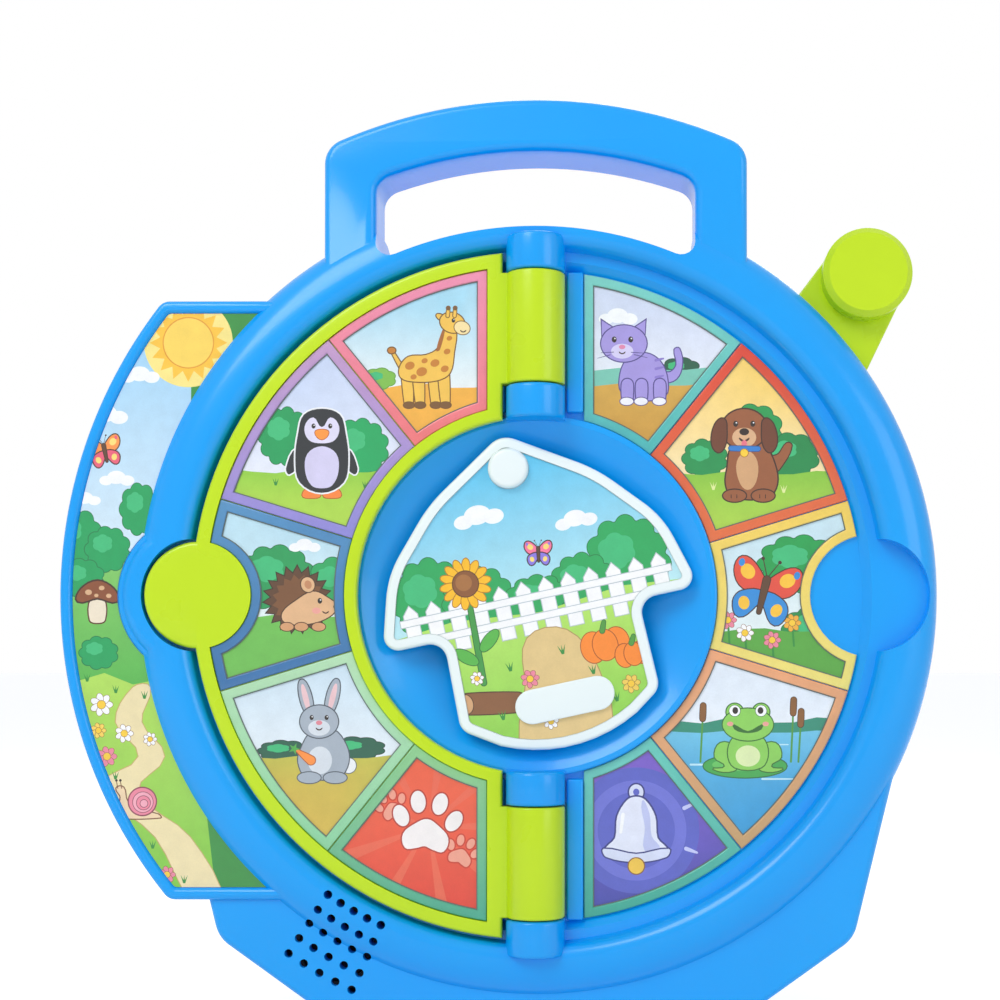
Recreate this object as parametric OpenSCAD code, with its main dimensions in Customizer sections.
// Toy with a spinning pointer in the middle of a picture dial, a flip page,
// a pull lever at the side, a carry handle and a sound unit inside.
// Millimetres. X is to the right, Z is up and the front looks along -Y.
// The origin is on the flat bottom of the base, below the dial's axis, on the parting plane.
// Inside dial() the local axes are x right, y up and z towards the child.

/* [Casing] */
// Height of the dial's axis above the flat bottom
dial_z = 154; // [150:1:162]
// Radius of the casing at the parting plane
ring_r = 140; // [138:0.5:143]
// Distance from the front ring's crest to its outer edge
ring_slope = 14; // [13:0.5:15.5]
// How far the ring's crest stands in front of the parting plane
crest_h = 10.5; // [9.5:0.5:12]
// Wall thickness of the casing
wall = 2.5; // [1.8:0.1:3]
// Distance from the parting plane to the back of the casing
back_depth = 58; // [57:0.5:64]
// How much the casing narrows towards its back
back_taper = 6; // [3:0.5:10]
// Depth at which the casing starts to taper
taper_depth = 24; // [22:1:30]
// Front face of the base, in front of the parting plane
apron_h = 5; // [4.5:0.1:6]
// Half-width of the flat bottom
foot_half = 62; // [55:1:66]
// Half-width of the base at its lower corners
base_half = 110.6; // [106:0.5:114]
// Height of those corners below the dial's axis
base_corner_y = 119.2; // [116:0.5:122]
// How much the base's sides lean inward for each millimetre down
base_lean = 0.245; // [0.2:0.005:0.3]
// Clearance between surfaces that must not rub
air = 0.3; // [0.2:0.05:0.4]

/* [Handle] */
// How far the handle's top edge stands beyond the ring
handle_rise = 32.5; // [30:0.5:38]
// Half-width of the handle
handle_half = 73.5; // [71:0.5:77]
// Radius of the rounded shoulders
handle_corner = 9; // [6:0.5:14]
// Front face of the handle, in front of the parting plane
handle_front = 8; // [7:0.5:9]
// Back face of the handle, behind the parting plane
handle_back = 16; // [14:0.5:18]
// Width of the grip above the hand hole
grip_w = 17.8; // [16:0.1:20]
// Distance of the hand hole's lower edge from the ring's crest
hole_low_gap = 1.4; // [0.5:0.1:3]
// Width of the handle beside the hand hole
handle_side_w = 18.1; // [16.5:0.1:20]

/* [Side panel] */
// How far the panel stands out from the ring
fin_w = 25.5; // [22:0.5:30]
// Upper edge of the panel above the dial's axis
fin_top = 102.5; // [98:0.5:106]
// Lower edge of the panel below the dial's axis
fin_low = 105.7; // [100:0.5:108]
// Front face of the panel's rim
fin_front = 7; // [6.5:0.1:7.5]
// Back face of the panel
fin_back = 9; // [8:0.5:12]
// Width of the rim round the panel's label
fin_rim = 4.2; // [3.5:0.1:5]
// Width of the ring's slope that the panel's label leaves covered
fin_overlap = 5.4; // [4:0.1:6]
// Radius of the raised collar round the tab's pocket
tab_collar_r = 28.4; // [26:0.1:30]
// Height of that collar over the parting plane
tab_collar_h = 9; // [8:0.1:9.4]

/* [Leaves] */
// Distance of the page's outer edge from the ring's crest
page_to_crest = 7; // [6.6:0.1:8]
// Distance of the page's inner edge from the bowl's rim
page_to_bowl = 0.8; // [0.5:0.1:1.5]
// Distance of the page's straight edge from the hinge line
page_edge = 11.4; // [11:0.1:12]
// Thickness of the page
page_t = 5.8; // [5.4:0.1:6.2]
// Hinge axis in front of the parting plane
hinge_h = 6.5; // [6.2:0.1:7]
// Gap between the page and the wall of its recess
page_gap = 1.3; // [1:0.1:1.6]
// Width of the raised land between the bowl and the pictures
inner_land = 2.2; // [2:0.1:3]
// Width of the page's own outer rim, outside the pictures
page_out_rim = 5; // [4.5:0.1:6]
// Straight edge of the pictures beside the hinge
label_edge = 16.5; // [16:0.1:18]
// Width of the page's own inner rim
page_in_rim = 4.2; // [3.8:0.1:4.6]
// Angle that one picture takes up
wedge_pitch = 34; // [33:0.5:35]
// Gap between two pictures
label_gap = 0.3; // [0.2:0.05:0.5]
// Width of each picture's raised border
border_w = 3.3; // [2.8:0.1:3.6]
// Thickness of a picture's card
label_t = 0.5; // [0.4:0.1:0.7]
// Height of its raised border over the card
border_h = 0.9; // [0.6:0.1:1.1]
// Depth of the recess that holds a picture on the page
label_recess = 2; // [1.9:0.1:2.1]
// Radius of the page's thumb tab
tab_r = 18.5; // [17.5:0.5:18.6]
// Distance of the tab's centre inside the page's outer edge
tab_in = 2; // [1.5:0.5:3]
// Gap between the tab and its round pocket
pocket_gap = 1.1; // [0.9:0.1:1.5]

/* [Hinge] */
// Radius of the hinge knuckles
knuckle_r = 10.2; // [10:0.1:10.4]
// Length of the casing's inner knuckle and the gap after it
stub_len = 12; // [11:0.5:14]
// Length of the casing's outer knuckle and the gap before it
outer_stub_len = 10; // [9.5:0.1:10.5]
// Distance from the casing's outer knuckle to the ring's crest
knuckle_to_crest = 4.5; // [4:0.1:5.5]
// Radius of the hinge pins
hinge_pin_r = 2; // [1.6:0.1:2.5]
// Gap between neighbouring knuckles
knuckle_gap = 0.4; // [0.3:0.05:0.5]
// Running clearance of every shaft in its bore, on the radius
run = 0.05; // [0.03:0.01:0.09]

/* [Spinner] */
// Radius of the bowl's rim
bowl_r = 61; // [60.5:0.1:61.2]
// Depth of the bowl's middle behind the parting plane
bowl_depth = 8; // [7.5:0.5:9]
// Tilt of the pointer, counter-clockwise
spinner_tilt = 12.2; // [0:0.1:90]
// Back face of the pointer
spinner_low = 1; // [0.8:0.1:1.5]
// Thickness of the pointer
spinner_t = 5; // [4.5:0.1:5.5]
// Gap between the pointer's tip and the bowl's rim
tip_gap = 3.5; // [3:0.1:5]
// Gap between the pointer's round bottom and the bowl's rim
bottom_gap = 7.2; // [6.5:0.1:9]
// Gap between the pointer's eaves and the bowl's rim, measured sideways
eave_gap = 4.6; // [4:0.1:7]
// Half-width of the pointer's lower part
spinner_half = 34.6; // [33:0.1:36]
// Width of the pointer's white border
spinner_rim = 3.6; // [3:0.1:4]
// Radius of the finger boss at the tip
boss_r = 7; // [6:0.5:8]
// Radius of the spinner shaft
shaft_r = 4; // [3.5:0.1:4.5]

/* [Lever] */
// Lever pivot to the right of the dial's axis
pivot_x = 47; // [46:0.5:48]
// Distance from the lever's pivot to the middle of its knob
arm_len = 132; // [128:0.5:134]
// Angle of the lever above the horizontal at rest
arm_angle = 58.6; // [57:0.1:60]
// Angle through which the lever is pulled down
arm_travel = 48; // [40:1:48]
// Radius of the knob
knob_r = 15.6; // [14.5:0.1:16]
// Front face of the knob
knob_front = 5; // [4:0.5:6]
// Radius of the lever's pivot pin
pivot_r = 3; // [2.5:0.1:3.5]
// Module of all gears
gear_m = 1; // [1:0.01:1]
// Teeth on a full circle of the lever's sector
sector_teeth = 60; // [60:1:60]
// Teeth of the idler's small gear
pinion_teeth = 12; // [12:1:12]
// Teeth of the idler's large gear
idler_teeth = 36; // [36:1:36]
// Teeth of the clutch gear
clutch_teeth = 14; // [14:1:14]
// Face width of the lever's sector
sector_w = 6; // [5:0.1:6.4]
// Play between meshing teeth, along the pitch circle
backlash = 0.2; // [0.15:0.01:0.3]
// Radius of the idler's axle
axle_r = 2; // [1.6:0.1:2.4]

/* [Sound unit] */
// Width of the circuit board
board_w = 84; // [80:1:90]
// Height of the circuit board
board_h = 66; // [60:1:70]
// Thickness of the circuit board
board_t = 1.6; // [1.2:0.1:2]
// Radius of the loudspeaker
speaker_r = 16; // [15:0.5:16.5]
// Direction of the loudspeaker from the dial's axis
speaker_angle = 240.2; // [239:0.1:242]
// Distance of the loudspeaker from the dial's axis
speaker_reach = 140; // [139.5:0.5:142]
// Distance of the grille's middle row from the dial's axis
grille_reach = 138.3; // [137:0.1:140]
// Distance between the grille's rows
grille_row = 6.4; // [5.5:0.1:7]
// Angle between the grille's holes
grille_step = 2.4; // [2.2:0.1:2.8]
// Diameter of a grille hole
grille_hole = 3; // [2:0.1:3.5]
// Radius of one battery
cell_r = 7.25; // [7:0.05:7.4]
// Length of one battery
cell_len = 50.5; // [49.5:0.1:51]
// Travel of the volume slide
slide_travel = 8; // [6:0.5:8]

/* [Hidden] */
$fn = 96;
crest_r = ring_r - ring_slope;
back_r = ring_r - back_taper;
handle_r = ring_r + handle_rise;
hole_top_r = handle_r - grip_w;
hole_low_r = crest_r + hole_low_gap;
hole_half = handle_half - handle_side_w;
fin_r = ring_r + fin_w;
fin_in_r = ring_r - fin_overlap;
page_r = crest_r - page_to_crest;
page_in_r = bowl_r + page_to_bowl;
label_in_r = bowl_r + inner_land;
label_out_r = page_r - page_out_rim;
tab_x = page_r - tab_in;
pocket_r = tab_r + pocket_gap;
stub_start = bowl_r;
knuckle_start = stub_start + stub_len;
stub_end = crest_r - knuckle_to_crest;
knuckle_end = stub_end - outer_stub_len;
pin_start = stub_start + 5; // the hinge pins start inside the inner knuckle
pin_end = stub_end - 3.5;
spinner_tip = bowl_r - tip_gap;
spinner_bottom_r = bowl_r - bottom_gap;
spinner_eave = bowl_r - eave_gap;
seat_h = hinge_h - page_t / 2 - air; // where the page comes to rest
floor_h = seat_h - 3; // floor under the pictures
base_top = 52; // the base's sides start this far below the dial's axis, inside the ring
fin_floor = fin_front - 1.8; // floor of the panel's label recess
fin_label_t = 0.4;
page_low = hinge_h - page_t / 2;
page_high = hinge_h + page_t / 2;
spinner_top = spinner_low + spinner_t;
core_low = page_low + label_recess;
core_high = page_high - label_recess;
recess_r = page_r + page_gap;
trough_r = knuckle_r + 0.5;
label_clear = 0.15; // between a picture and the edge of its recess
blue = [0, 0.63, 1];
lime = [0.78, 0.92, 0.12];
white = [0.96, 0.97, 0.95];
steel = [0.72, 0.73, 0.75];

// Layers of the mechanism, as distances behind the parting plane
bushing_back = 16;
flange_front = bushing_back + 0.5;
flange_back = flange_front + 2;
felt_back = flange_back + 1;
clutch_front = felt_back + 0.1;
clutch_back = clutch_front + 7;
washer_back = clutch_back + 0.8;
spring_back = washer_back + 7.6;
collar_back = spring_back + 2;
plate_front = 40;
plate_back = 42;
disc_front = 42.6;
disc_back = 43.8;
board_front = 46.4;
board_back = board_front + board_t;
sector_front = 13;
sector_back = sector_front + sector_w;
pinion_front = 12.6;
idler_front = clutch_front + 0.5;
idler_back = clutch_back - 0.5;
post_back = 12.3; // casing bosses that carry the pivots end here
arm_front = 4.4; // front of the lever's outer arm
arm_back = 18;
cover_back = 20;

// Gear train
sector_pr = gear_m * sector_teeth / 2;
pinion_pr = gear_m * pinion_teeth / 2;
idler_pr = gear_m * idler_teeth / 2;
clutch_pr = gear_m * clutch_teeth / 2;
lever_to_idler = sector_pr + pinion_pr;
idler_to_spinner = idler_pr + clutch_pr;
idler_x = (idler_to_spinner * idler_to_spinner - lever_to_idler * lever_to_idler
    + pivot_x * pivot_x) / (2 * pivot_x);
idler_y = -sqrt(idler_to_spinner * idler_to_spinner - idler_x * idler_x);
lever_mesh = atan2(idler_y, idler_x - pivot_x); // direction from the lever to the idler
spinner_mesh = atan2(-idler_y, -idler_x); // direction from the idler to the spinner
pressure = 25;
addendum = 0.8 * gear_m;
dedendum = 1.05 * gear_m;
sector_root = sector_pr - dedendum;
// First and last of the sector's teeth, counted from the one in mesh
sector_first = -2;
sector_last = ceil(arm_travel / (360 / sector_teeth)) + 2;
shank = 42; // from the pivot to the thick part of the arm
// Screws and posts
screw_r = 1.5;
head_r = 2.9;
boss_out = 4;
well_r = 3.4; // well over a sunk screw head
pilot = screw_r; // a thread-forming screw fills its hole
ring_post_r = 116;
ring_posts = [62, 118, 160, 200, 340];
base_posts = [[-99, -98], [99, -98], [-46, -145], [46, -145]];
handle_posts = [[-64.5, 143], [64.5, 143]];
case_split = 30; // where front and rear columns meet
plate_posts = [[-14, 27], [-14, -30], [62, -36]];

// Battery bay
cell_pitch = 2 * cell_r + 1.3;
bay_half = 31.4;
bay_y = -121.2;
bay_half_h = 1.5 * cell_pitch + 0.4;
bay_wall = 2;
door_rim = 3;
door_t = 1.9;
bay_front = back_depth - door_t - 2 * cell_r - 2 * air - bay_wall; // front wall of the bay
cell_depth = bay_front + bay_wall + cell_r + air;
door_screw_y = bay_y + bay_half_h + 8;

board_posts = [for (x = [-1, 1], y = [-1, 1]) [x * (board_w / 2 - 5) - 10, y * (board_h / 2 - 5) + 12]];

// Slide switch
slide_x = -24;
slide_y = 22;

speaker_pos = [speaker_reach * cos(speaker_angle), speaker_reach * sin(speaker_angle)];
speaker_front = apron_h - wall - 0.1; // front of the loudspeaker's flange
flange_t = 1.5;
basket_back = 9;
speaker_screw_r = speaker_r + 4;
speaker_magnet_r = 9;
speaker_magnet_t = 6;
speaker_clamp_in = speaker_r - 1.8;

// ---------- helpers ----------

// Hinge knuckle between two distances from the dial's axis
module knuckle(from, to) {
    translate([0, 0, from]) cylinder(r = knuckle_r, h = to - from);
}

module dial() {
    translate([0, 0, dial_z]) rotate([90, 0, 0]) children();
}

// A solid between two distances behind (negative: in front of) the parting plane
module layer(front, back) {
    translate([0, 0, -back]) linear_extrude(back - front) children();
}

module post(x, y, r, front, back) {
    translate([x, y, -back]) cylinder(r = r, h = back - front);
}

function polar(r, a) = [r * cos(a), r * sin(a)];
function arc(c, r, a0, a1, n) = [for (i = [0:n]) c + polar(r, a0 + (a1 - a0) * i / n)];
function unit(v) = v / norm(v);
function corner(p, a, b, r, n) =
    let (u = unit(a - p), v = unit(b - p))
    let (half = acos(u * v) / 2, m = unit(u + v))
    let (c = p + m * r / sin(half))
    let (s = p + u * r / tan(half), e = p + v * r / tan(half))
    let (a0 = atan2(s[1] - c[1], s[0] - c[0]), a1 = atan2(e[1] - c[1], e[0] - c[0]))
    let (turn = a1 - a0 > 180 ? a1 - a0 - 360 : a1 - a0 < -180 ? a1 - a0 + 360 : a1 - a0)
    arc(c, r, a0, a0 + turn, n);
// Outline through corner points [x, y, radius], each corner rounded
function rounded(points, n = 6) =
    [for (i = [0:len(points) - 1])
        let (k = len(points), p = points[i])
        let (a = points[(i + k - 1) % k], b = points[(i + 1) % k])
        for (q = p[2] > 0
            ? corner([p[0], p[1]], [a[0], a[1]], [b[0], b[1]], p[2], n)
            : [[p[0], p[1]]]) q];

// ---------- outlines, seen from the front, about the dial's axis ----------

module base_outline(inset = 0) {
    polygon(rounded([
        [base_half + base_lean * (base_corner_y - base_top) - inset, -base_top - inset, 0],
        [base_half - inset, -base_corner_y + inset / 2, 12 - inset],
        [foot_half - inset / 2, -dial_z + inset, 6 - inset],
        [-foot_half + inset / 2, -dial_z + inset, 6 - inset],
        [-base_half + inset, -base_corner_y + inset / 2, 12 - inset],
        [-base_half - base_lean * (base_corner_y - base_top) + inset, -base_top - inset, 0]]));
}

module handle_outline(inset = 0) {
    r = handle_r - inset;
    half = handle_half - inset;
    cr = handle_corner - inset;
    cx = half - cr;
    cy = sqrt((r - cr) * (r - cr) - cx * cx);
    a = atan2(cy, cx);
    polygon(concat([[half, 100]], arc([cx, cy], cr, 0, a, 6), arc([0, 0], r, a, 180 - a, 24),
        arc([-cx, cy], cr, 180 - a, 180, 6), [[-half, 100]]));
}

module hand_hole(grow = 0) {
    half = hole_half + grow;
    top = hole_top_r + grow;
    low = hole_low_r - grow;
    tr = 7 + grow;
    br = 5 + grow;
    tx = half - tr;
    ty = sqrt((top - tr) * (top - tr) - tx * tx);
    bx = half - br;
    by = sqrt((low + br) * (low + br) - bx * bx);
    ta = atan2(ty, tx);
    ba = atan2(by, bx);
    polygon(concat(arc([tx, ty], tr, 0, ta, 6), arc([0, 0], top, ta, 180 - ta, 20),
        arc([-tx, ty], tr, 180 - ta, 180, 6), arc([-bx, by], br, 180, 360 - ba, 6),
        arc([0, 0], low, 180 - ba, ba, 20), arc([bx, by], br, 180 + ba, 360, 6)));
}

module fin_outline(inset = 0) {
    r = fin_r - inset;
    cr = 5 - min(inset, 3);
    top = fin_top - inset;
    low = -fin_low + inset;
    ty = top - cr;
    ly = low + cr;
    tx = -sqrt((r - cr) * (r - cr) - ty * ty);
    lx = -sqrt((r - cr) * (r - cr) - ly * ly);
    ta = atan2(ty, tx);
    la = atan2(ly, lx) + 360;
    polygon(concat([[-84, top]], arc([tx, ty], cr, 90, ta, 6), arc([0, 0], r, ta, la, 36),
        arc([lx, ly], cr, la, 270, 6), [[-84, low]]));
}

// Outline of the side panel's label recess
module fin_label_outline(inset = 0) {
    difference() {
        fin_outline(fin_rim + inset);
        circle(r = fin_in_r + inset);
        translate([-tab_x, 0]) circle(r = tab_collar_r + inset);
    }
}

// One picture: from angle a0 to a1, each side kept off its line by w0 or w1
function wedge_points(a0, w0, a1, w1, r0, r1) =
    concat(arc([0, 0], r1, a0 + asin(w0 / r1), a1 - asin(w1 / r1), 14),
        arc([0, 0], r0, a1 - asin(w1 / r0), a0 + asin(w0 / r0), 10));

// Picture k of 5 on the right side, counted upward, shrunk by inset; the middle one
// is cut round the tab by cut_r
module wedge(k, inset, r0, r1, cut_r) {
    side = label_gap / 2 + inset;
    first = k == 0;
    last = k == 4;
    mid = wedge_pitch * (k - 2);
    difference() {
        polygon(wedge_points(first ? -90 : mid - wedge_pitch / 2,
            first ? label_edge + label_clear + inset : side,
            last ? 90 : mid + wedge_pitch / 2, last ? label_edge + label_clear + inset : side,
            r0 + label_clear + inset, r1 - label_clear - inset));
        if (k == 2) translate([tab_x, 0]) circle(r = cut_r + inset);
    }
}

module picture(k, r0, r1, cut_r) {
    linear_extrude(label_t) wedge(k, 0, r0, r1, cut_r);
    linear_extrude(label_t + border_h) difference() {
        wedge(k, 0, r0, r1, cut_r);
        wedge(k, border_w, r0, r1, cut_r);
    }
}

// ---------- gears ----------

function inv(a) = (tan(a) - a * PI / 180) * 180 / PI;
function flank(teeth, r) =
    let (pr = gear_m * teeth / 2, br = pr * cos(pressure))
    90 / teeth - backlash / 4 / pr * 180 / PI + inv(pressure) - inv(acos(min(1, br / max(r, br))));
function tooth(teeth, i) =
    let (pr = gear_m * teeth / 2, c = 360 / teeth * i)
    let (lo = pr - dedendum, hi = pr + addendum)
    let (rs = [for (j = [0:4]) lo + (hi - lo) * j / 4])
    concat([for (j = [0:4]) polar(rs[j], c - flank(teeth, rs[j]))],
        [for (j = [4:-1:0]) polar(rs[j], c + flank(teeth, rs[j]))]);
module gear2d(teeth) {
    polygon([for (i = [0:teeth - 1]) each tooth(teeth, i)]);
}

// ---------- wires ----------

// Coil about z: ring k of n a turn, wire radius w, from z0 up by pitch a turn; its
// radius grows from r0 to r1
module coil(r0, r1, w, z0, pitch, turns, n) {
    count = round(turns * n);
    points = [for (i = [0:count], j = [0:5])
        let (t = i / n, a = 360 * t, r = r0 + (r1 - r0) * i / count + w * cos(60 * j))
        [r * cos(a), r * sin(a), z0 + pitch * t + w * sin(60 * j)]];
    faces = concat([[for (j = [0:5]) j]],
        [for (i = [0:count - 1], j = [0:5]) each [
            [6 * i + j, 6 * i + 6 + j, 6 * i + (j + 1) % 6],
            [6 * i + 6 + j, 6 * i + 6 + (j + 1) % 6, 6 * i + (j + 1) % 6]]],
        [[for (j = [5:-1:0]) 6 * count + j]]);
    polyhedron(points, faces);
}

// Wire of radius w through route points
module wire(route, w) {
    last = len(route) - 1;
    points = [for (i = [0:last])
        let (d = unit(route[min(i + 1, last)] - route[max(i - 1, 0)]))
        let (s = unit(cross(d, abs(d[2]) > 0.9 ? [1, 0, 0] : [0, 0, 1])), u = cross(s, d))
        for (j = [0:7]) route[i] + w * (cos(45 * j) * s + sin(45 * j) * u)];
    faces = concat([[for (j = [0:7]) j]],
        [for (i = [0:last - 1], j = [0:7]) each [
            [8 * i + j, 8 * i + 8 + j, 8 * i + (j + 1) % 8],
            [8 * i + 8 + j, 8 * i + 8 + (j + 1) % 8, 8 * i + (j + 1) % 8]]],
        [[for (j = [7:-1:0]) 8 * last + j]]);
    polyhedron(points, faces);
}

module screw(length, head) {
    translate([0, 0, -length]) cylinder(r = screw_r, h = length);
    difference() {
        cylinder(r = head, h = 2);
        for (a = [0, 90]) rotate(a) translate([-head * 0.7, -0.3, 1]) cube([head * 1.4, 0.6, 2]);
    }
}

// ---------- casing ----------

// Outer line of the front ring, as [radius, height] from its crest to the parting plane
function ring_line(shrink) =
    [for (i = [0:8]) let (a = 90 - 90 * i / 8)
        [crest_r + (ring_r - shrink - crest_r) * cos(a), (crest_h - shrink) * sin(a)]];

module ring_front() {
    difference() {
        rotate_extrude() polygon(concat([[label_out_r - wall, floor_h - wall], [label_out_r - wall, floor_h],
            [label_out_r, floor_h], [label_out_r + 3, seat_h], [recess_r, seat_h],
            [recess_r + 1.2, seat_h + 4.2]], ring_line(0),
            [[recess_r + wall, 0], [recess_r + wall, floor_h - wall]]));
        translate([0, 0, floor_h - wall - 1]) rotate_extrude() polygon(concat(
            [[recess_r + wall, 0], [recess_r + wall, seat_h + 2]],
            [for (p = ring_line(wall)) [p[0], p[1] + wall + 1 - floor_h]], [[ring_r - wall, 0]]));
    }
}

// Tray floors with raised lands round the pictures
module tray() {
    difference() {
        translate([0, 0, floor_h - wall]) cylinder(r = label_out_r, h = wall);
        translate([0, 0, floor_h - wall - 1]) cylinder(r = bowl_r, h = wall + 2);
    }
    difference() {
        translate([0, 0, floor_h - 1]) cylinder(r = label_in_r, h = seat_h - floor_h + 1);
        translate([0, 0, floor_h - 2]) cylinder(r = bowl_r, h = seat_h + 4);
    }
    for (side = [-1, 1], end = [-1, 1])
        translate([side > 0 ? trough_r : -label_edge, end > 0 ? label_in_r - 1 : -label_out_r, floor_h - 1])
            cube([label_edge - trough_r, label_out_r - label_in_r + 1, seat_h - floor_h + 1]);
}

module bowl() {
    line = [for (i = [0:12]) let (r = bowl_r * i / 12)
        [r, (seat_h + bowl_depth) * pow(i / 12, 3) - bowl_depth]];
    rotate_extrude() polygon(concat(line,
        [for (i = [12:-1:0]) [line[i][0] + (i == 12 ? 1.5 : 0), line[i][1] - wall]]));
}

module case_posts(front, back, r) {
    for (a = ring_posts) post(ring_post_r * cos(a), ring_post_r * sin(a), r, front, back);
    for (p = base_posts) post(p[0], p[1], r, front, back);
}

module grille() {
    for (i = [-2:2], j = [-2:2])
        rotate(speaker_angle + j * grille_step) translate([grille_reach + i * grille_row, 0, -2])
            cylinder(d = grille_hole, h = crest_h + 4, $fn = 24);
}

module front_shell() {
    color(blue) dial() difference() {
        union() {
            difference() {
                union() {
                    ring_front();
                    tray();
                    // base apron
                    difference() {
                        layer(-apron_h, 0) base_outline();
                        layer(-apron_h + wall, 1) base_outline(wall);
                        layer(-apron_h - 1, 1) circle(r = ring_r - 3);
                    }
                    // front half of the handle
                    difference() {
                        layer(-handle_front, 0) handle_outline();
                        layer(-handle_front + wall, 1) difference() {
                            handle_outline(wall);
                            hand_hole(wall);
                        }
                        layer(-handle_front - 1, 1) circle(r = crest_r);
                    }
                    // side panel
                    difference() {
                        layer(-fin_front, 0) fin_outline();
                        layer(-fin_floor + wall, 1) fin_outline(wall);
                        layer(-fin_front - 1, 1) circle(r = ring_r - 3);
                    }
                    // collar round the tab's pocket on the panel's side
                    difference() {
                        post(-tab_x, 0, tab_collar_r, -tab_collar_h, -seat_h + wall);
                        layer(-crest_h - 1, 1) circle(r = crest_r - 2);
                    }
                    // round pockets for the page's tab
                    for (x = [-tab_x, tab_x]) post(x, 0, pocket_r + 1.6, -seat_h, -seat_h + wall);
                    // bearings of the hinge
                    for (end = [0, 180]) rotate(end) translate([-trough_r - wall, bowl_r + 0.5, floor_h - 6])
                        cube([2 * (trough_r + wall), stub_end - bowl_r, seat_h - floor_h + 6]);
                    for (end = [0, 180]) rotate(end) translate([0, 0, hinge_h]) rotate([-90, 0, 0]) {
                        knuckle(stub_start, knuckle_start - knuckle_gap);
                        knuckle(knuckle_end + knuckle_gap, stub_end);
                    }
                    for (end = [0, 180]) rotate(end) translate([-knuckle_r, stub_start, 0])
                        cube([2 * knuckle_r, knuckle_start - knuckle_gap - stub_start, hinge_h]);
                    for (end = [0, 180]) rotate(end) translate([-knuckle_r, knuckle_end + knuckle_gap, 0])
                        cube([2 * knuckle_r, stub_end - knuckle_end - knuckle_gap, hinge_h]);
                }
                layer(-crest_h - 1, 9) hand_hole();
                // recess of the side panel's label
                layer(-crest_h - 1, -fin_floor) fin_label_outline();
                for (x = [-tab_x, tab_x]) post(x, 0, pocket_r, -crest_h - 1, -seat_h);
                // trough under the page's knuckles
                for (end = [0, 180])
                    rotate(end) translate([0, knuckle_start - knuckle_gap, hinge_h]) rotate([-90, 0, 0])
                        cylinder(r = trough_r, h = knuckle_end - knuckle_start + 2 * knuckle_gap);
                // dished space of the bowl
                cylinder(r = bowl_r, h = 30);
                grille();
                // seat of the loudspeaker
                post(speaker_pos[0], speaker_pos[1], speaker_r + air, -speaker_front - 0.1, 9);
            }
            bowl();
            post(0, 0, 8, bowl_depth, bushing_back);
            // walls of the hand hole
            difference() {
                layer(-handle_front, 0) difference() {
                    hand_hole(wall);
                    hand_hole();
                }
                layer(-handle_front - 1, 1) circle(r = hole_low_r - wall);
            }
            // columns for screws and pivots
            case_posts(-floor_h, case_split, boss_out);
            for (p = handle_posts) post(p[0], p[1], boss_out, -handle_front + 1, 6);
            post(pivot_x, 0, 6, 2, post_back);
            post(idler_x, idler_y, 4, 8, post_back);
            for (p = plate_posts) post(p[0], p[1], 4, 4, plate_front);
            for (side = [-90, 90]) post(speaker_pos[0] + speaker_screw_r * cos(speaker_angle + side),
                speaker_pos[1] + speaker_screw_r * sin(speaker_angle + side), 3,
                -speaker_front - 1, -speaker_front + flange_t + 1.45);
            // nests of the page sensor and the lever switch
            translate([-87, -2.9, floor_h - wall - 3]) cube([14, 1.4, 4]);
            translate([-87, 1.5, floor_h - wall - 3]) cube([14, 1.4, 4]);
            translate([94, -26, -12]) cube([14, 3.5, 12 + floor_h - 1]);
        }
        post(0, 0, shaft_r + run, bowl_depth - 4, bushing_back + 1);
        for (end = [0, 180]) rotate(end) translate([0, pin_start, hinge_h]) rotate([-90, 0, 0])
            cylinder(r = hinge_pin_r, h = pin_end - pin_start);
        post(pivot_x, 0, pivot_r, 6, post_back + 1);
        post(idler_x, idler_y, axle_r, post_back - 3, post_back + 1);
        case_posts(case_split - 9, case_split + 1, pilot);
        for (p = handle_posts) post(p[0], p[1], pilot, -3, 7);
        for (p = plate_posts) post(p[0], p[1], pilot, plate_front - 8, plate_front + 1);
        for (side = [-90, 90]) post(speaker_pos[0] + speaker_screw_r * cos(speaker_angle + side),
            speaker_pos[1] + speaker_screw_r * sin(speaker_angle + side), 1, -speaker_front - 0.5, 3);
    }
}

// Space enclosed by the back casing; grow moves its walls outward from the cavity
module back_solid(shrink, back) {
    straight = taper_depth;
    difference() {
        union() {
            translate([0, 0, -straight]) cylinder(r = ring_r - shrink, h = straight);
            translate([0, 0, -back])
                cylinder(r1 = back_r - shrink, r2 = ring_r - shrink, h = back - straight);
            layer(0, back) base_outline(shrink);
        }
        layer(-1, back + 1) hand_hole(shrink);
    }
}

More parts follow.
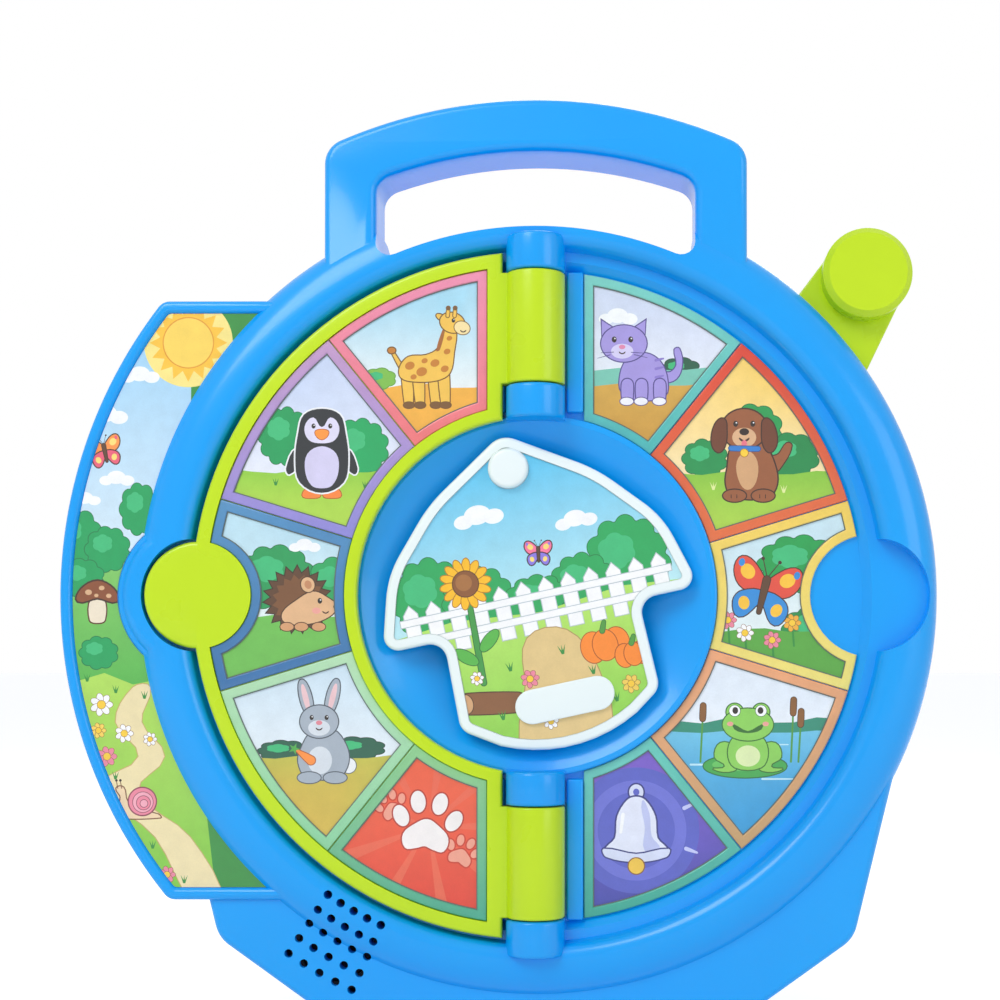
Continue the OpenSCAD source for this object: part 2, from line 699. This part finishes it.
module rear_shell() {
    color(blue) dial() difference() {
        union() {
            difference() {
                union() {
                    back_solid(0, back_depth);
                    layer(0, handle_back) difference() {
                        handle_outline();
                        hand_hole();
                    }
                    layer(0, fin_back) fin_outline();
                }
                translate([0, 0, 1]) back_solid(wall, back_depth - wall + 1);
                layer(-1, handle_back - wall) difference() {
                    handle_outline(wall);
                    hand_hole(wall);
                }
                layer(-1, fin_back - wall) fin_outline(wall);
            }
            case_posts(case_split, back_depth - 1, boss_out + 0.9);
            for (p = handle_posts) post(p[0], p[1], boss_out + 0.9, 6, handle_back - 1);
            // battery bay
            difference() {
                translate([-bay_half - bay_wall, bay_y - bay_half_h - bay_wall, -back_depth + 1])
                    cube([2 * (bay_half + bay_wall), 2 * (bay_half_h + bay_wall),
                        back_depth - bay_front - 1]);
                translate([-bay_half, bay_y - bay_half_h, -back_depth])
                    cube([2 * bay_half, 2 * bay_half_h, back_depth - bay_front - bay_wall]);
            }
            // ledge under the battery door
            translate([-bay_half - door_rim - 1.5, bay_y - bay_half_h - door_rim, -back_depth + 1])
                cube([2 * (bay_half + door_rim + 1.5), 2 * (bay_half_h + door_rim), wall + 0.8]);
            post(0, door_screw_y, 5, back_depth - 12, back_depth - 1);
            for (p = board_posts) post(p[0], p[1], 3.2, board_back, back_depth - 1);
        }
        // mouth of the battery bay and the recess of its door
        translate([-bay_half, bay_y - bay_half_h, -back_depth - 1])
            cube([2 * bay_half, 2 * bay_half_h, back_depth - bay_front - bay_wall + 1]);
        translate([-bay_half - door_rim, bay_y - bay_half_h - door_rim + 1, -back_depth - 1])
            cube([2 * (bay_half + door_rim), 2 * bay_half_h + door_rim + 10, door_t + 1]);
        post(0, door_screw_y, pilot, back_depth - 11, back_depth + 1);
        // slot for the lever
        rotate([0, 0, -3]) translate([0, 0, -cover_back - 1]) rotate_extrude(angle = 57)
            translate([ring_r - 14, 0]) square([30, cover_back + 1 - arm_front + 0.9]);
        // slot for the volume slide
        translate([slide_x - 6, slide_y - 3, -back_depth - 1]) cube([12 + slide_travel, 6, wall + 2]);
        // screw holes, each with a well behind it
        case_posts(case_split - 1, case_split + 4, screw_r + 0.2);
        case_posts(case_split + 3, back_depth + 1, well_r);
        for (p = handle_posts) {
            post(p[0], p[1], screw_r + 0.2, 5, 10);
            post(p[0], p[1], well_r, 9.5, handle_back + 1);
        }
        for (p = board_posts) post(p[0], p[1], pilot, board_back - 1, board_back + 5);
    }
}

module case_screws() {
    color(steel) dial() {
        for (a = ring_posts) translate([ring_post_r * cos(a), ring_post_r * sin(a), -case_split - 3])
            rotate([180, 0, 0]) screw(10, head_r);
        for (p = base_posts) translate([p[0], p[1], -case_split - 3]) rotate([180, 0, 0]) screw(10, head_r);
        for (p = handle_posts) translate([p[0], p[1], -9.5]) rotate([180, 0, 0]) screw(10, head_r);
    }
}

module battery_door() {
    rim = door_rim - air;
    color([0, 0.58, 0.95]) dial() difference() {
        translate([-bay_half - rim, bay_y - bay_half_h - door_rim + 1 + air, -back_depth])
            cube([2 * (bay_half + rim), 2 * bay_half_h + door_rim + 10 - 2 * air, door_t - 0.05]);
        post(0, door_screw_y, screw_r + 0.2, back_depth - 3, back_depth + 1);
    }
}

module battery_door_screw() {
    color(steel) dial() translate([0, door_screw_y, -back_depth]) rotate([180, 0, 0]) screw(9, head_r);
}

module side_panel_label() {
    color([0.55, 0.8, 0.45]) dial()
        layer(-fin_floor - fin_label_t, -fin_floor) fin_label_outline(label_clear);
}

module right_leaf_labels() {
    color([0.6, 0.75, 0.85]) dial() translate([0, 0, floor_h])
        for (k = [0:4]) picture(k, label_in_r, label_out_r, pocket_r + 1.7);
}

module left_leaf_labels() {
    color([0.85, 0.75, 0.55]) dial() translate([0, 0, floor_h]) mirror([1, 0, 0])
        for (k = [0:4]) picture(k, label_in_r, label_out_r, pocket_r + 1.7);
}

// ---------- page ----------

module page_frame() {
    color(lime) dial() difference() {
        union() {
            translate([0, 0, page_low]) linear_extrude(page_t) difference() {
                circle(r = page_r);
                circle(r = page_in_r);
                translate([-page_edge, -page_r - 1]) square([2 * page_r, 2 * page_r + 2]);
            }
            translate([-tab_x, 0, page_low]) cylinder(r = tab_r, h = page_t);
            for (end = [0, 1]) mirror([0, end, 0]) {
                translate([0, 0, hinge_h]) rotate([-90, 0, 0]) knuckle(knuckle_start, knuckle_end);
                translate([-page_edge - 1, knuckle_start, page_low])
                    cube([page_edge + 1, knuckle_end - knuckle_start, page_t]);
            }
        }
        for (low = [page_low - 1, core_high]) layer(-low - label_recess - 1, -low) difference() {
            circle(r = label_out_r);
            circle(r = page_in_r + page_in_rim);
            translate([-label_edge, -page_r - 1]) square([2 * page_r, 2 * page_r + 2]);
            translate([-tab_x, 0]) circle(r = tab_r);
        }
        for (end = [0, 1]) mirror([0, end, 0]) translate([0, knuckle_start - 1, hinge_h]) rotate([-90, 0, 0])
            cylinder(r = hinge_pin_r + run, h = knuckle_end - knuckle_start + 2);
        translate([-80, 0, core_high - 1.3]) cylinder(r = 4.1, h = 2);
    }
}

module page_front_labels() {
    color([0.9, 0.8, 0.5]) dial() translate([0, 0, core_high]) mirror([1, 0, 0])
        for (k = [0:4]) picture(k, page_in_r + page_in_rim, label_out_r, tab_r + label_clear);
}

module page_back_labels() {
    color([0.5, 0.75, 0.85]) dial() translate([0, 0, core_low]) rotate([0, 180, 0])
        for (k = [0:4]) picture(k, page_in_r + page_in_rim, label_out_r, tab_r + label_clear);
}

module page_hinge_pins() {
    color(steel) dial() for (end = [0, 180]) rotate(end)
        translate([0, pin_start + 0.2, hinge_h]) rotate([-90, 0, 0])
            cylinder(r = hinge_pin_r, h = pin_end - pin_start - 0.4);
}

module page_magnet() {
    color([0.5, 0.5, 0.52]) dial() translate([-80, 0, core_high - 1.3]) cylinder(r = 4, h = 1.25);
}

// ---------- spinner ----------

module spinner_outline(inset = 0) {
    low = acos((spinner_half + 0.8) / spinner_bottom_r);
    offset(delta = -inset) polygon(rounded(concat(
        [[0, spinner_tip, 8]], [[-30, spinner_tip - 19, 55],
        [7.4 - spinner_eave, 17.5, 35], [-spinner_eave, -8.8, 5],
        [-spinner_half, -8.8, 6], [-spinner_half - 0.8, -spinner_bottom_r * sin(low), 6]],
        [for (a = [180 + low + 16 : 12 : 360 - low - 12]) concat(polar(spinner_bottom_r, a), [0])],
        [[spinner_half + 0.8, -spinner_bottom_r * sin(low), 6], [spinner_half, -8.8, 6],
        [spinner_eave, -8.8, 5], [spinner_eave - 7.4, 17.5, 35], [30, spinner_tip - 19, 55]])));
}

module tilted() {
    dial() rotate(spinner_tilt) children();
}

module spinner_frame() {
    color(white) tilted() difference() {
        union() {
            difference() {
                layer(-spinner_low - spinner_t, -spinner_low) spinner_outline();
                layer(-spinner_top - 1, 1.2 - spinner_top) spinner_outline(spinner_rim);
            }
            translate([0, spinner_tip - 12.4, spinner_low + 1]) cylinder(r = boss_r, h = spinner_t + 1);
            post(0, 0, 8, -spinner_low - 1, bowl_depth - 1);
        }
        post(0, 0, shaft_r, -spinner_low - 1.5, bowl_depth);
    }
}

module spinner_label() {
    color([0.45, 0.75, 0.85]) tilted() layer(0.8 - spinner_top, 1.2 - spinner_top) difference() {
        spinner_outline(spinner_rim + label_clear);
        translate([0, spinner_tip - 12.4]) circle(r = boss_r + label_clear);
    }
}

module spinner_plate() {
    color(white) tilted() translate([2.3, 16.1 - spinner_bottom_r, spinner_low + spinner_t - 0.8]) {
        translate([-11.5, -6, 0]) cube([23, 12, 1.4]);
        for (x = [-11.5, 11.5]) translate([x, 0, 0]) cylinder(r = 6, h = 1.4);
    }
}

module spinner_shaft() {
    color(steel) tilted() {
        post(0, 0, shaft_r, -spinner_low - 1.5, disc_back);
        post(0, 0, 10, flange_front, flange_back);
    }
}

module ring(r_out, r_in, front, back) {
    difference() {
        post(0, 0, r_out, front, back);
        post(0, 0, r_in, front - 1, back + 1);
    }
}

module friction_washer() {
    color([0.35, 0.3, 0.3]) tilted() ring(9.5, shaft_r, flange_back, felt_back);
}

module clutch_gear() {
    color([0.95, 0.9, 0.75]) dial() difference() {
        union() {
            rotate(spinner_mesh + 180 + 180 / clutch_teeth)
                layer(clutch_front, clutch_back) gear2d(clutch_teeth);
        }
        post(0, 0, shaft_r + run, clutch_front - 1, clutch_back + 1);
    }
}

module spring_washer() {
    color(steel) tilted() ring(8, shaft_r, clutch_back + 0.1, washer_back);
}

module clutch_spring() {
    color(steel) tilted() translate([0, 0, -spring_back])
        coil(6, 6, 0.4, 0.45, (spring_back - washer_back - 0.9) / 5, 5, 12);
}

module shaft_collar() {
    color([0.7, 0.6, 0.35]) tilted() ring(8, shaft_r, spring_back, collar_back);
}

module encoder_disc() {
    color([0.85, 0.6, 0.3]) tilted() difference() {
        union() {
            ring(11, shaft_r, disc_front, disc_back);
            for (a = [0:120:240]) rotate(a) translate([8, -1, -board_front + 0.3])
                cube([2, 2, board_front - disc_front - 0.8]);
        }
    }
}

// ---------- lever ----------

// Bar with round ends of two sizes
module taper_bar(len, r0, r1) {
    a = acos((r0 - r1) / len);
    polygon(concat(arc([0, 0], r0, a, 360 - a, 36), arc([len, 0], r1, -a, a, 24)));
}

module at_lever() {
    dial() translate([pivot_x, 0, 0]) children();
}

module lever_arm() {
    color(lime) at_lever() difference() {
        union() {
            rotate(arm_angle)
                layer(sector_front, arm_back) taper_bar(arm_len, sector_root - 1, knob_r - 0.6);
            rotate(arm_angle) layer(arm_front, arm_back) intersection() {
                taper_bar(arm_len, sector_root - 1, knob_r - 0.6);
                translate([shank, -50]) square([200, 100]);
            }
            rotate(arm_angle) translate([arm_len, 0, -arm_back]) {
                cylinder(r = knob_r, h = arm_back + knob_front - 2);
                translate([0, 0, arm_back + knob_front - 2]) cylinder(r1 = knob_r, r2 = knob_r - 2, h = 2);
            }
            layer(sector_front, sector_back) circle(r = sector_root - 0.4);
            rotate(lever_mesh) layer(sector_front, sector_back) polygon(concat([[0, 0]],
                [for (i = [sector_first:sector_last]) each tooth(sector_teeth, i)]));
            post(0, 0, 6.5, sector_front, idler_back);
            // post that holds the moving end of the return spring
            post(-12, 8, 1.5, sector_front, idler_back - 2);
        }
        post(0, 0, pivot_r + run, sector_front - 1, idler_back + 1);
    }
}

module lever_cover() {
    color([0.72, 0.86, 0.1]) at_lever() rotate(arm_angle) layer(arm_back, cover_back) intersection() {
        taper_bar(arm_len, sector_root - 1, knob_r - 0.6);
        translate([shank + 10, -50]) square([200, 100]);
    }
}

module lever_pin() {
    color(steel) at_lever() post(0, 0, pivot_r, 7, plate_back);
}

module lever_spring() {
    color(steel) at_lever() {
        translate([0, 0, -idler_back]) coil(7.6, 7.6, 0.5, 0.6, 1.2, 4.75, 12);
    }
}

module idler_gear() {
    color([0.95, 0.92, 0.8]) dial() translate([idler_x, idler_y, 0]) difference() {
        union() {
            rotate(lever_mesh + 180 + 180 / pinion_teeth)
                layer(pinion_front, idler_front + 0.5) gear2d(pinion_teeth);
            rotate(spinner_mesh) layer(idler_front, idler_back) gear2d(idler_teeth);
            post(0, 0, 4.5, idler_back - 1, plate_front - 0.3);
        }
        post(0, 0, axle_r + run, pinion_front - 1, plate_front + 1);
    }
}

module idler_axle() {
    color(steel) dial() post(idler_x, idler_y, axle_r, post_back - 3, plate_back);
}

module gear_plate() {
    color([0.25, 0.27, 0.3]) dial() difference() {
        union() {
            for (p = plate_posts) post(p[0], p[1], 5.5, plate_front, plate_back);
            layer(plate_front, plate_back) polygon([[-19, 31], [-19, -34], [64, -41], [66, 10], [30, 20]]);
            post(pivot_x, 0, 6, idler_back + 6, plate_front + 1);
            post(0, 0, 9, plate_front - 1.6, plate_front + 1);
        }
        post(0, 0, shaft_r + run, plate_front - 3, plate_back + 1);
        post(pivot_x, 0, pivot_r, idler_back, plate_back + 1);
        post(idler_x, idler_y, axle_r, plate_front - 1, plate_back + 1);
        for (p = plate_posts) post(p[0], p[1], screw_r + 0.2, plate_front - 1, plate_back + 1);
    }
}

module gear_plate_screws() {
    color(steel) dial() for (p = plate_posts)
        translate([p[0], p[1], -plate_back]) rotate([180, 0, 0]) screw(9, head_r);
}

// ---------- sound unit ----------

module main_board() {
    color([0.1, 0.45, 0.2]) dial() difference() {
        translate([-10 - board_w / 2, 12 - board_h / 2, -board_back]) cube([board_w, board_h, board_t]);
        for (p = board_posts) post(p[0], p[1], screw_r + 0.2, board_front - 1, board_back + 1);
        for (p = plate_posts) post(p[0], p[1], head_r + 1, board_front - 1, board_back + 1);
    }
}

module board_parts() {
    color([0.12, 0.12, 0.13]) dial() {
        post(-40, 30, 6, board_front - 2, board_front); // sound chip under a drop of resin
        translate([-44, 6, -board_front]) cube([9, 7, 2.2]);
        post(-38, -8, 3.2, board_front - 7, board_front); // electrolytic capacitor
        post(10, 34, 2.5, board_front - 4, board_front);
    }
}

module board_screws() {
    color(steel) dial() for (x = [-1, 1], y = [-1, 1])
        translate([x * (board_w / 2 - 5) - 10, y * (board_h / 2 - 5) + 12, -board_front]) screw(5.5, head_r);
}

module lever_switch() {
    color([0.1, 0.1, 0.1]) dial() {
        translate([94.5, -22.5, -12]) cube([13, 7, 6]);
        translate([101, -15.6, -10.5]) cube([3, 1.8, 3]);
    }
}

module page_sensor() {
    color([0.75, 0.85, 0.8]) dial() translate([-87.5, 0, floor_h - wall - 1.5])
        rotate([0, 90, 0]) cylinder(r = 1.3, h = 15);
}

// Inside at_speaker() distances run back from the front of the loudspeaker's flange
module at_speaker() {
    dial() translate([speaker_pos[0], speaker_pos[1], speaker_front]) rotate(speaker_angle) children();
}

module speaker_frame() {
    color(steel) at_speaker() difference() {
        union() {
            post(0, 0, speaker_r, 0, flange_t);
            translate([0, 0, -basket_back]) cylinder(r1 = 9, r2 = 14, h = basket_back - flange_t);
        }
        translate([0, 0, -basket_back + 1]) cylinder(r1 = 8, r2 = 13, h = basket_back - 1 - flange_t + 0.05);
        post(0, 0, 13, -1, flange_t);
        post(0, 0, 3, basket_back - 2, basket_back + 1);
    }
}

module speaker_cone() {
    color([0.1, 0.1, 0.1]) at_speaker() {
        difference() {
            translate([0, 0, -6]) cylinder(r1 = 4, r2 = 12.4, h = 5.5);
            translate([0, 0, -5.5]) cylinder(r1 = 4, r2 = 12.4, h = 5.5);
        }
        post(0, 0, 4, 4.2, basket_back - 1.4);
    }
}

module speaker_magnet() {
    color([0.3, 0.3, 0.32]) at_speaker()
        post(0, 0, speaker_magnet_r, basket_back, basket_back + speaker_magnet_t);
}

module speaker_clamp() {
    color(blue) at_speaker() difference() {
        union() {
            ring(speaker_r, speaker_clamp_in, flange_t, flange_t + 2.7);
            for (y = [14.6, -speaker_screw_r - 3]) translate([-3, y, -flange_t - 2.7])
                cube([6, speaker_screw_r - 11.6, 1.2]);
        }
        for (y = [-1, 1]) post(0, y * speaker_screw_r, 1.2, 0, 6);
    }
}

module speaker_screws() {
    color(steel) at_speaker() for (y = [-1, 1])
        translate([0, y * speaker_screw_r, -flange_t - 2.7]) rotate([180, 0, 0]) {
        translate([0, 0, -4]) cylinder(r = 1, h = 4);
        cylinder(r = 2.2, h = 1.6);
    }
}

module cells() {
    for (k = [-1:1]) translate([0, bay_y + k * cell_pitch, -cell_depth]) rotate([0, k == 0 ? -90 : 90, 0])
        children();
}

module batteries() {
    color([0.15, 0.15, 0.16]) dial() cells() {
        translate([0, 0, -cell_len / 2]) cylinder(r = cell_r, h = cell_len - 1.3);
        translate([0, 0, cell_len / 2 - 1.4]) cylinder(r = 2.7, h = 1.4);
    }
}

module battery_springs() {
    color(steel) dial() cells() translate([0, 0, -bay_half + 0.6]) coil(5, 3, 0.35, 0.36, 1.1, 4, 8);
}

module battery_tabs() {
    color(steel) dial() cells() {
        translate([-6, -6, -bay_half]) cube([12, 12, 0.5]);
        translate([-6, -6, bay_half - 0.5]) cube([12, 12, 0.5]);
        translate([-2, -2, cell_len / 2]) cube([4, 4, bay_half - 0.5 - cell_len / 2]);
    }
}

// Routes of the leads, chosen by hand
battery_route = [[-28, -95, 44], [-28, -92, 44], [-28, -80, 43], [-30, -60, 43.6],
    [-34, -44, 45], [-36, -32, 46.6],
    [-36, -26, 47.2], [-36, -21, 47.2]];
speaker_route = [[-66, -112, 12.6], [-64, -106, 14], [-60, -96, 24], [-55, -80, 36],
    [-50, -60, 43], [-47, -40, 45.4],
    [-46, -26, 47.2], [-46, -21, 47.2]];
sensor_route = [[-87.6, 0.7, 3.7], [-89, 0.7, 3.7], [-92, 3, 8], [-88, 10, 18], [-78, 20, 32], [-66, 26, 42],
    [-57, 28, 46], [-54.4, 28, 47.2], [-52, 28, 47.2]];

module leads(route, step, w) {
    for (k = [0, 1]) wire([for (p = route) [p[0] + step[0] * k, p[1] + step[1] * k, -p[2]]], w);
}

module battery_leads() {
    color([0.8, 0.1, 0.1]) dial() leads(battery_route, [4, 0], 0.7);
}

module speaker_leads() {
    color([0.1, 0.1, 0.1]) dial() leads(speaker_route, [3, 0], 0.7);
}

module sensor_leads() {
    color([0.9, 0.8, 0.2]) dial() leads(sensor_route, [0, -1.4], 0.45);
}

module volume_switch() {
    color([0.6, 0.6, 0.62]) dial() difference() {
        translate([slide_x - 9, slide_y - 4, -back_depth + 4.6])
            cube([18 + slide_travel, 8, back_depth - 4.6 - board_back]);
        translate([slide_x - 4, slide_y - 2, -back_depth + 4]) cube([8 + slide_travel, 4, 3]);
    }
}

module volume_slider() {
    color([0.12, 0.12, 0.14]) dial()
        translate([slide_x - 3.5, slide_y - 1.7, -back_depth - 1]) cube([7, 3.4, 7.2]);
}

front_shell();
rear_shell();
case_screws();
battery_door();
battery_door_screw();
side_panel_label();
right_leaf_labels();
left_leaf_labels();
page_frame();
page_front_labels();
page_back_labels();
page_hinge_pins();
page_magnet();
spinner_frame();
spinner_label();
spinner_plate();
spinner_shaft();
friction_washer();
clutch_gear();
spring_washer();
clutch_spring();
shaft_collar();
encoder_disc();
lever_arm();
lever_cover();
lever_pin();
lever_spring();
idler_gear();
idler_axle();
gear_plate();
gear_plate_screws();
main_board();
board_parts();
board_screws();
lever_switch();
page_sensor();
speaker_frame();
speaker_cone();
speaker_magnet();
speaker_clamp();
speaker_screws();
batteries();
battery_springs();
battery_tabs();
battery_leads();
speaker_leads();
sensor_leads();
volume_switch();
volume_slider();
